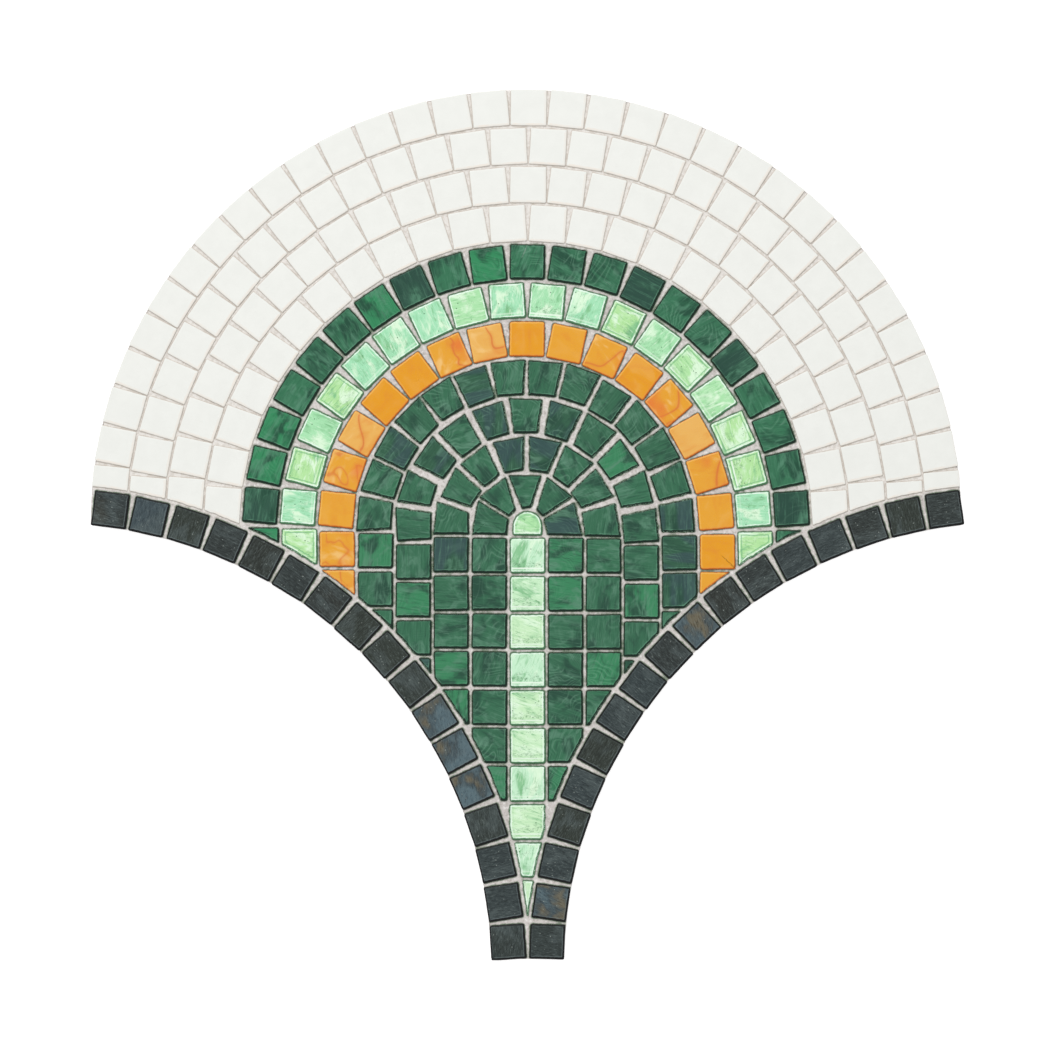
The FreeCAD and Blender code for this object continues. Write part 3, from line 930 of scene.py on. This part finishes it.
def white_glass():
    s = Glass("white_glass", Specular_IOR_Level=0.3)
    clouds = s.noise(s.place, 0.16, 3.0, 0.6)
    s.colour = s.mix(s.ramp(clouds, 0.3, 0.7), srgb(238, 239, 234), srgb(241, 242, 237))
    streaks = s.noise(s.drawn(1.8, 0.2), 1.0, 3.0)
    s.tint(streaks, 0.55, 0.8, 0.2, srgb(234, 234, 229))
    # Painted glow: a warm pale line along the edge, only on the side away from the lamp.
    rim = s.band(s.edge, 0.2, 0.7, 0.25)
    painted_edge_glow = s.product(rim, s.ramp(s.shaded, 0.0, 0.9), s.ramp(clouds, 0.35, 0.6, 0.2, 0.8))
    s.lay(painted_edge_glow, srgb(240, 231, 220))
    # Painted shade: the very edge of the face is darkened all round.
    s.lay(s.product(s.ramp(s.edge, 0.0, 0.2, 1.0, 0.0), 0.4), srgb(222, 214, 206))
    # Painted shade: the walls grow darker the deeper they lie below the face, in blotches.
    wall_shade_blotches = s.ramp(s.noise(s.place, 0.45, 3.0, 0.6), 0.4, 0.62)
    painted_wall_shade = s.mix(wall_shade_blotches, srgb(224, 219, 212), srgb(202, 193, 185))
    s.lay(s.ramp(s.depth, -0.6, -0.1, 1.0, 0.0), painted_wall_shade)
    roughness = s.ramp(s.noise(s.place, 0.8, 3.0), 0.3, 0.7, 0.3, 0.45)
    normal = s.bump(s.noise(s.place, 0.7, 4.0), 0.03)
    return s.finish(roughness, normal)


def green_glass(name, deep, middle, bright, pale, dark, slate):
    s = Glass(name, Specular_IOR_Level=0.2)
    s.colour = s.mix(s.ramp(s.shade, 0.0, 0.5), deep, middle)
    s.lay(s.ramp(s.shade, 0.5, 1.0), bright)
    depths = s.noise(s.drawn(0.2, 0.1), 1.0, 3.0, 0.5, 0.6)
    s.tint(depths, 0.46, 0.66, 0.9, dark)
    milk = s.noise(s.drawn(0.26, 0.13, 1.3), 1.0, 3.0, 0.6, 0.8)
    s.tint(milk, 0.48, 0.7, 0.65, pale)
    stripes = s.ramp(s.noise(s.drawn(0.16, 0.05, 2.1), 1.0, 1.0), 0.42, 0.56)
    s.lay(s.product(stripes, s.ramp(s.shade, 0.2, 0.1), 0.8), slate)
    brushed = s.noise(s.drawn(2.3, 0.13), 1.0, 4.0, 0.65, 0.3)
    s.tint(brushed, 0.5, 0.76, 0.8, dark)
    s.tint(brushed, 0.48, 0.25, 0.65, pale)
    patch = s.ramp(s.noise(s.place, 0.16, 1.0), 0.42, 0.62)
    folds = s.folds(26.0)
    s.lay(s.product(s.ramp(folds, 0.6, 1.0), patch, s.streaked, 0.3), srgb(128, 172, 148))
    s.lay(s.product(s.ramp(folds, 0.35, 0.0), patch, s.streaked, 0.4), dark)
    scratch = s.product(s.ramp(brushed, 0.62, 0.72), s.ramp(milk, 0.5, 0.62), s.streaked, 0.7)
    s.lay(scratch, srgb(150, 186, 164))
    inside = s.inside(0.24, 0.66)
    # Painted light: a pale broken line just inside the dark edge, stronger on the side away from the lamp, as
    # light glowing through the rim.
    broken_rim_light = s.ramp(s.noise(s.place, 0.35, 2.0), 0.4, 0.6, 0.2, 1.0)
    painted_rim_light = s.product(s.band(inside, 0.22, 0.34, 0.14), s.ramp(s.shaded, -0.6, 0.8, 0.1, 0.6), broken_rim_light)
    s.lay(painted_rim_light, srgb(106, 160, 130))
    # Painted shade: the dark outline, shade and dark reflection at the rolled edge, thicker on the side away
    # from the lamp.
    s.lay(s.ramp(inside, 0.0, 0.22, 1.0, 0.0), srgb(9, 34, 24))
    s.chips(srgb(120, 150, 128))
    roughness = s.ramp(brushed, 0.3, 0.7, 0.2, 0.38)
    normal = s.bump(s.noise(s.place, 0.5, 4.0), 0.05, s.bump(brushed, 0.02))
    return s.finish(roughness, normal)


def light_green_glass():
    s = Glass("light_green_glass", Specular_IOR_Level=0.35)
    s.colour = s.mix(s.ramp(s.chance, 0.3, 0.7), srgb(166, 230, 186), srgb(182, 232, 162))
    s.tint(s.shade, 0.6, 0.95, 0.55, srgb(226, 252, 224))
    clouds = s.noise(s.drawn(0.2, 0.1), 1.0, 3.0, 0.6, 0.8)
    # Mottled tone together with painted highlights and painted shade: darker and near-white patches of the
    # clouds.
    s.tint(clouds, 0.46, 0.3, 0.9, srgb(128, 194, 138))
    s.tint(clouds, 0.5, 0.66, 0.95, srgb(226, 253, 222))
    brushed = s.noise(s.drawn(1.7, 0.2), 1.0, 4.0, 0.7, 0.5)
    s.tint(brushed, 0.52, 0.74, 0.9, srgb(234, 255, 230))
    s.tint(brushed, 0.47, 0.28, 0.75, srgb(120, 182, 128))
    distance, chance = s.cells(s.place, 1.0)
    bubble = s.product(s.ramp(distance, 0.12, 0.3, 1.0, 0.0), s.ramp(chance, 0.9, 0.92), 0.85)
    s.lay(bubble, srgb(64, 104, 70))
    squiggle = s.line(s.noise(s.place, 0.5, 3.0, 0.6, 1.2), 0.5, 0.014)
    fading = s.ramp(s.noise(s.place, 0.33, 1.0, 0.5), 0.52, 0.6)
    s.lay(s.product(squiggle, fading, 0.7), srgb(84, 132, 92))
    _, height, _ = s.split(s.place)
    uneven = s.math("ADD", height, s.ramp(s.noise(s.place, 0.4, 2.0), 0.3, 0.7, -1.1, 1.1))
    grit = s.ramp(s.noise(s.stretch(s.place, 0.8, 1.2), 1.0, 5.0, 0.8), 0.46, 0.64)
    s.lay(s.product(s.band(uneven, -3.5, -2.6, 1.3), grit, s.streaked, 0.85), srgb(84, 136, 94))
    s.lay(s.product(s.band(height, -4.5, -4.2, 0.25), s.streaked, 0.9), srgb(240, 255, 238))
    inside = s.inside(0.18, 0.5)
    # Painted reflection: on some pieces a green line about a millimetre in, the rolled edge seen again
    # through the glass.
    painted_refracted_frame = s.product(s.ramp(s.chance, 0.5, 0.6), s.ramp(s.shade, 0.7, 0.85, 0.75, 0.15))
    s.lay(s.product(s.band(inside, 0.95, 1.1, 0.2), painted_refracted_frame), srgb(112, 178, 128))
    broken_rim_light = s.ramp(s.noise(s.place, 0.35, 2.0), 0.36, 0.56, 0.25, 1.0)
    # Painted highlight: a near-white broken line just inside the outline.
    s.lay(s.product(s.band(inside, 0.2, 0.42, 0.16), broken_rim_light), srgb(236, 255, 240))
    # Painted shade: a thin dark green outline, shade and dark reflection at the rolled edge, thicker away
    # from the lamp.
    s.lay(s.ramp(inside, 0.0, 0.2, 1.0, 0.0), srgb(72, 122, 84))
    s.chips(srgb(200, 235, 205))
    roughness = s.ramp(brushed, 0.3, 0.7, 0.12, 0.3)
    normal = s.bump(s.noise(s.place, 0.5, 4.0), 0.06, s.bump(clouds, 0.08))
    return s.finish(roughness, normal)


def orange_glass():
    s = Glass("orange_glass", Specular_IOR_Level=0.3)
    s.colour = s.mix(s.ramp(s.shade, 0.0, 0.5), srgb(231, 156, 24), srgb(232, 164, 46))
    s.lay(s.ramp(s.shade, 0.5, 1.0), srgb(236, 180, 92))
    clouds = s.noise(s.drawn(0.2, 0.1), 1.0, 3.0, 0.5, 0.7)
    s.tint(clouds, 0.5, 0.75, 0.5, srgb(226, 142, 40))
    milky = s.product(s.ramp(clouds, 0.5, 0.3), s.ramp(s.streaked, 0.2, 0.9, 0.1, 0.9))
    s.lay(milky, srgb(244, 196, 120))
    folds = s.folds(5.0)
    s.lay(s.product(s.ramp(folds, 0.5, 1.0), s.streaked, 0.45), srgb(222, 126, 48))
    arc = s.product(s.ramp(folds, 0.84, 0.98), s.ramp(s.streaked, 0.6, 0.9), 0.6)
    s.lay(arc, srgb(214, 104, 50))
    red = s.product(s.ramp(s.noise(s.place, 0.1, 1.0), 0.5, 0.75), s.ramp(s.streaked, 0.5, 0.9), 0.8)
    s.lay(red, srgb(230, 118, 50))
    inside = s.inside(0.1, 0.3)
    # Painted highlight: a pale yellow line just inside the edge, stronger on the lit sides.
    painted_rim_light = s.product(s.band(inside, 0.25, 0.5, 0.2), s.ramp(s.shaded, -0.5, 0.7, 0.5, 0.2))
    s.lay(painted_rim_light, srgb(246, 196, 104))
    # Painted glow: deep orange light along the rim on the side away from the lamp, as light coming through
    # the glass.
    glow = s.product(s.ramp(inside, 0.1, 0.75, 1.0, 0.0), s.ramp(s.shaded, 0.1, 0.9, 0.1, 0.7))
    s.lay(glow, srgb(224, 120, 26))
    # Painted shade: a deep orange outline at the rolled edge, thicker on the side away from the lamp.
    s.lay(s.ramp(inside, 0.0, 0.2, 1.0, 0.0), srgb(186, 92, 22))
    s.chips(srgb(235, 190, 130))
    roughness = s.ramp(s.noise(s.place, 0.6, 3.0), 0.3, 0.7, 0.16, 0.32)
    normal = s.bump(s.noise(s.place, 0.45, 4.0), 0.05, s.bump(clouds, 0.05))
    return s.finish(roughness, normal)


def black_glass():
    s = Glass("black_glass", Specular_IOR_Level=0.2)
    s.colour = s.mix(s.ramp(s.chance, 0.35, 0.65), srgb(50, 60, 61), srgb(46, 53, 47))
    s.tint(s.shade, 0.5, 1.0, 0.9, srgb(66, 80, 86))
    s.tint(s.shade, 0.2, 0.0, 0.8, srgb(42, 46, 43))
    clouds = s.noise(s.drawn(0.18, 0.1), 1.0, 2.0, 0.5, 0.5)
    s.tint(clouds, 0.45, 0.7, 0.5, srgb(84, 95, 95))
    sheen = s.noise(s.drawn(0.13, 0.09, 1.7), 1.0, 3.0, 0.55, 0.3)
    iridescent = s.ramp(s.streaked, 0.35, 0.8)
    s.lay(s.product(s.ramp(sheen, 0.44, 0.64), iridescent, 0.8), srgb(92, 114, 122))
    s.lay(s.product(s.ramp(sheen, 0.5, 0.34), iridescent, 0.75), srgb(116, 106, 82))
    brushed = s.noise(s.drawn(2.5, 0.5), 1.0, 5.0, 0.85, 0.5)
    s.tint(brushed, 0.51, 0.7, 0.65, srgb(118, 130, 128))
    s.tint(brushed, 0.5, 0.32, 0.8, srgb(18, 23, 24))
    distance, chance = s.cells(s.place, 1.1)
    speck = s.product(s.ramp(distance, 0.1, 0.22, 1.0, 0.0), s.ramp(chance, 0.86, 0.88), 0.75)
    s.lay(speck, srgb(170, 178, 172))
    inside = s.inside(0.42, 0.72)
    # Painted light: a pale grey line just inside the dark edge, stronger on the side away from the lamp.
    painted_rim_light = s.product(s.band(inside, 0.22, 0.34, 0.14), s.ramp(s.shaded, -0.6, 0.8, 0.1, 0.5))
    s.lay(painted_rim_light, srgb(112, 124, 126))
    # Painted shade: a near-black outline, shade and dark reflection at the rolled edge, thicker away from the
    # lamp.
    s.lay(s.ramp(inside, 0.0, 0.2, 1.0, 0.0), srgb(7, 9, 11))
    s.chips(srgb(110, 116, 112))
    roughness = s.ramp(brushed, 0.3, 0.7, 0.2, 0.4)
    normal = s.bump(s.noise(s.place, 0.5, 4.0), 0.05, s.bump(brushed, 0.03))
    return s.finish(roughness, normal)


def joint_filling(name, between_glass):
    """Cement with fine sand in it. Between pieces it is painted paler in the white field, for light bounced
    off the white glass, and painted with shade at the glass.
    """
    s = Shader(name, Specular_IOR_Level=0.2)
    place = s.object_place()
    coarse = s.noise(place, 800.0, 3.0, 0.6)
    fine = s.noise(place, 2600.0, 2.0, 0.6)
    stains = s.noise(place, 120.0, 3.0, 0.6)
    s.colour = s.mix(s.ramp(stains, 0.35, 0.68), srgb(206, 200, 196), srgb(224, 218, 214))
    s.tint(coarse, 0.52, 0.66, 0.6, srgb(168, 162, 154))
    s.tint(coarse, 0.46, 0.34, 0.75, srgb(242, 239, 236))
    if between_glass:
        clear, pale, _ = s.split(s.attribute("joint"))
        # Painted light: in the white field the filling is lifted paler, as light bounced off the white glass.
        light = s.mix(s.ramp(coarse, 0.4, 0.65), srgb(238, 234, 229), srgb(220, 214, 207))
        s.lay(pale, light)
        # Painted shade: near the glass the filling darkens over a ragged width, tinted green in the coloured
        # field as reflected from the green glass.
        ragged = s.math("ADD", clear, s.ramp(s.noise(place, 420.0, 2.0), 0.3, 0.7, -0.16, 0.12))
        shadow = s.mix(pale, srgb(68, 102, 68), srgb(206, 197, 187))
        reach = s.ramp(pale, 0.0, 1.0, 0.5, 0.42)
        shaded = s.math("SUBTRACT", 1.0, s.math("DIVIDE", ragged, reach))
        s.tint(shaded, 0.0, 1.0, 0.86, shadow)
    s.tint(fine, 0.55, 0.75, 0.4, srgb(240, 236, 232))
    roughness = s.ramp(fine, 0.3, 0.7, 0.82, 0.95)
    normal = s.bump(coarse, 0.16, s.bump(fine, 0.06))
    return s.finish(roughness, normal)


def glass_fibre():
    s = Shader("glass_fibre", Specular_IOR_Level=0.5, Sheen_Weight=0.3)
    place = s.object_place()
    fibres = s.noise(place, 4200.0, 2.0, 0.7)
    soiling = s.noise(place, 160.0, 3.0, 0.6)
    s.colour = s.mix(s.ramp(fibres, 0.4, 0.65), srgb(206, 206, 200), srgb(240, 240, 236))
    s.tint(soiling, 0.5, 0.72, 0.8, srgb(202, 194, 194))
    roughness = s.ramp(fibres, 0.3, 0.7, 0.4, 0.6)
    return s.finish(roughness, s.bump(fibres, 0.04))


def make_materials():
    return {
        "white_glass": white_glass(),
        "dark_green_glass": green_glass(
            "dark_green_glass",
            deep=srgb(47, 87, 70), middle=srgb(53, 113, 82), bright=srgb(50, 138, 91),
            pale=srgb(90, 144, 116), dark=srgb(26, 70, 53), slate=srgb(36, 70, 60),
        ),
        "green_glass": green_glass(
            "green_glass",
            deep=srgb(48, 90, 68), middle=srgb(54, 108, 80), bright=srgb(58, 134, 92),
            pale=srgb(96, 142, 118), dark=srgb(32, 70, 56), slate=srgb(54, 78, 82),
        ),
        "light_green_glass": light_green_glass(),
        "orange_glass": orange_glass(),
        "black_glass": black_glass(),
        "joint_filling": joint_filling("joint_filling", True),
        "bed_filling": joint_filling("bed_filling", False),
        "glass_fibre_mesh": glass_fibre(),
    }


# Stage, light and camera

KEY_PLACE = (-0.45, 1.3, 1.7)
KEY_SIZE = 0.9
KEY_SHARE = 0.3
FILL_SHARE = 0.7
FLOOR_SIZE = 8.0
FLOOR_GAP = 0.0002
FLOOR_LIFT = 0.6


def seen_share(tree):
    """1 for camera, glossy and transmitted rays, 0 for the light that falls on things."""
    path = tree.nodes.new("ShaderNodeLightPath")
    total = path.outputs["Is Camera Ray"]
    for other in ("Is Glossy Ray", "Is Transmission Ray"):
        larger = tree.nodes.new("ShaderNodeMath")
        larger.operation = "MAXIMUM"
        tree.links.new(total, larger.inputs[0])
        tree.links.new(path.outputs[other], larger.inputs[1])
        total = larger.outputs[0]
    return total


def make_floor():
    """A plain pale floor that keeps a soft shadow."""
    mesh = bpy.data.meshes.new("floor")
    half = FLOOR_SIZE / 2
    corners = [(-half, -half), (half, -half), (half, half), (-half, half)]
    mesh.from_pydata([(x, y, -FLOOR_GAP) for x, y in corners], [], [(0, 1, 2, 3)])
    floor = bpy.data.objects.new("floor", mesh)
    bpy.context.scene.collection.objects.link(floor)
    s = Shader("floor_paint", Specular_IOR_Level=0.0, Roughness=1.0)
    s.surface.inputs["Base Color"].default_value = srgb(240, 240, 240)
    s.surface.inputs["Emission Color"].default_value = (1, 1, 1, 1)
    lift = s.math("MULTIPLY", seen_share(s.tree), FLOOR_LIFT)
    s.feed(s.surface.inputs["Emission Strength"], lift)
    mesh.materials.append(s.material)


def make_light():
    """A large lamp at the upper left, and an even world that is white where it is seen."""
    lamp = bpy.data.lights.new("key", "AREA")
    lamp.shape = "SQUARE"
    lamp.size = KEY_SIZE
    distance = Vector(KEY_PLACE).length
    lamp.energy = KEY_SHARE * math.pi ** 2 * distance ** 3 / KEY_PLACE[2]
    key = bpy.data.objects.new("key", lamp)
    key.location = KEY_PLACE
    key.rotation_mode = "QUATERNION"
    key.rotation_quaternion = (-Vector(KEY_PLACE)).to_track_quat("-Z", "Y")
    bpy.context.scene.collection.objects.link(key)
    world = bpy.data.worlds.new("studio")
    world.use_nodes = True
    bpy.context.scene.world = world
    tree = world.node_tree
    background = tree.nodes["Background"]
    background.inputs["Color"].default_value = (1, 1, 1, 1)
    level = tree.nodes.new("ShaderNodeMapRange")
    level.inputs["To Min"].default_value = FILL_SHARE
    level.inputs["To Max"].default_value = 1.0
    tree.links.new(seen_share(tree), level.inputs["Value"])
    tree.links.new(level.outputs["Result"], background.inputs["Strength"])


def make_camera():
    """Straight above the tile, as the photograph was taken."""
    data = bpy.data.cameras.new("camera")
    data.sensor_width = SENSOR_MM
    data.lens = SENSOR_MM * CAMERA_DISTANCE / (FRAME_MM * MM)
    camera = bpy.data.objects.new("camera", data)
    camera.location = (AIM_X * MM, AIM_Y * MM, CAMERA_DISTANCE + GLASS_TOP * MM)
    bpy.context.scene.collection.objects.link(camera)
    bpy.context.scene.camera = camera


def main():
    bpy.context.scene.view_settings.view_transform = "Standard"
    make_camera()
    make_floor()
    make_light()
    materials = make_materials()
    outlines = make_glass(materials)
    bed = make_joints(outlines, materials["joint_filling"])
    make_backing(bed, materials["glass_fibre_mesh"])
    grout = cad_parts["grout_bed"].data
    grout.materials.clear()
    grout.materials.append(materials["bed_filling"])


main()
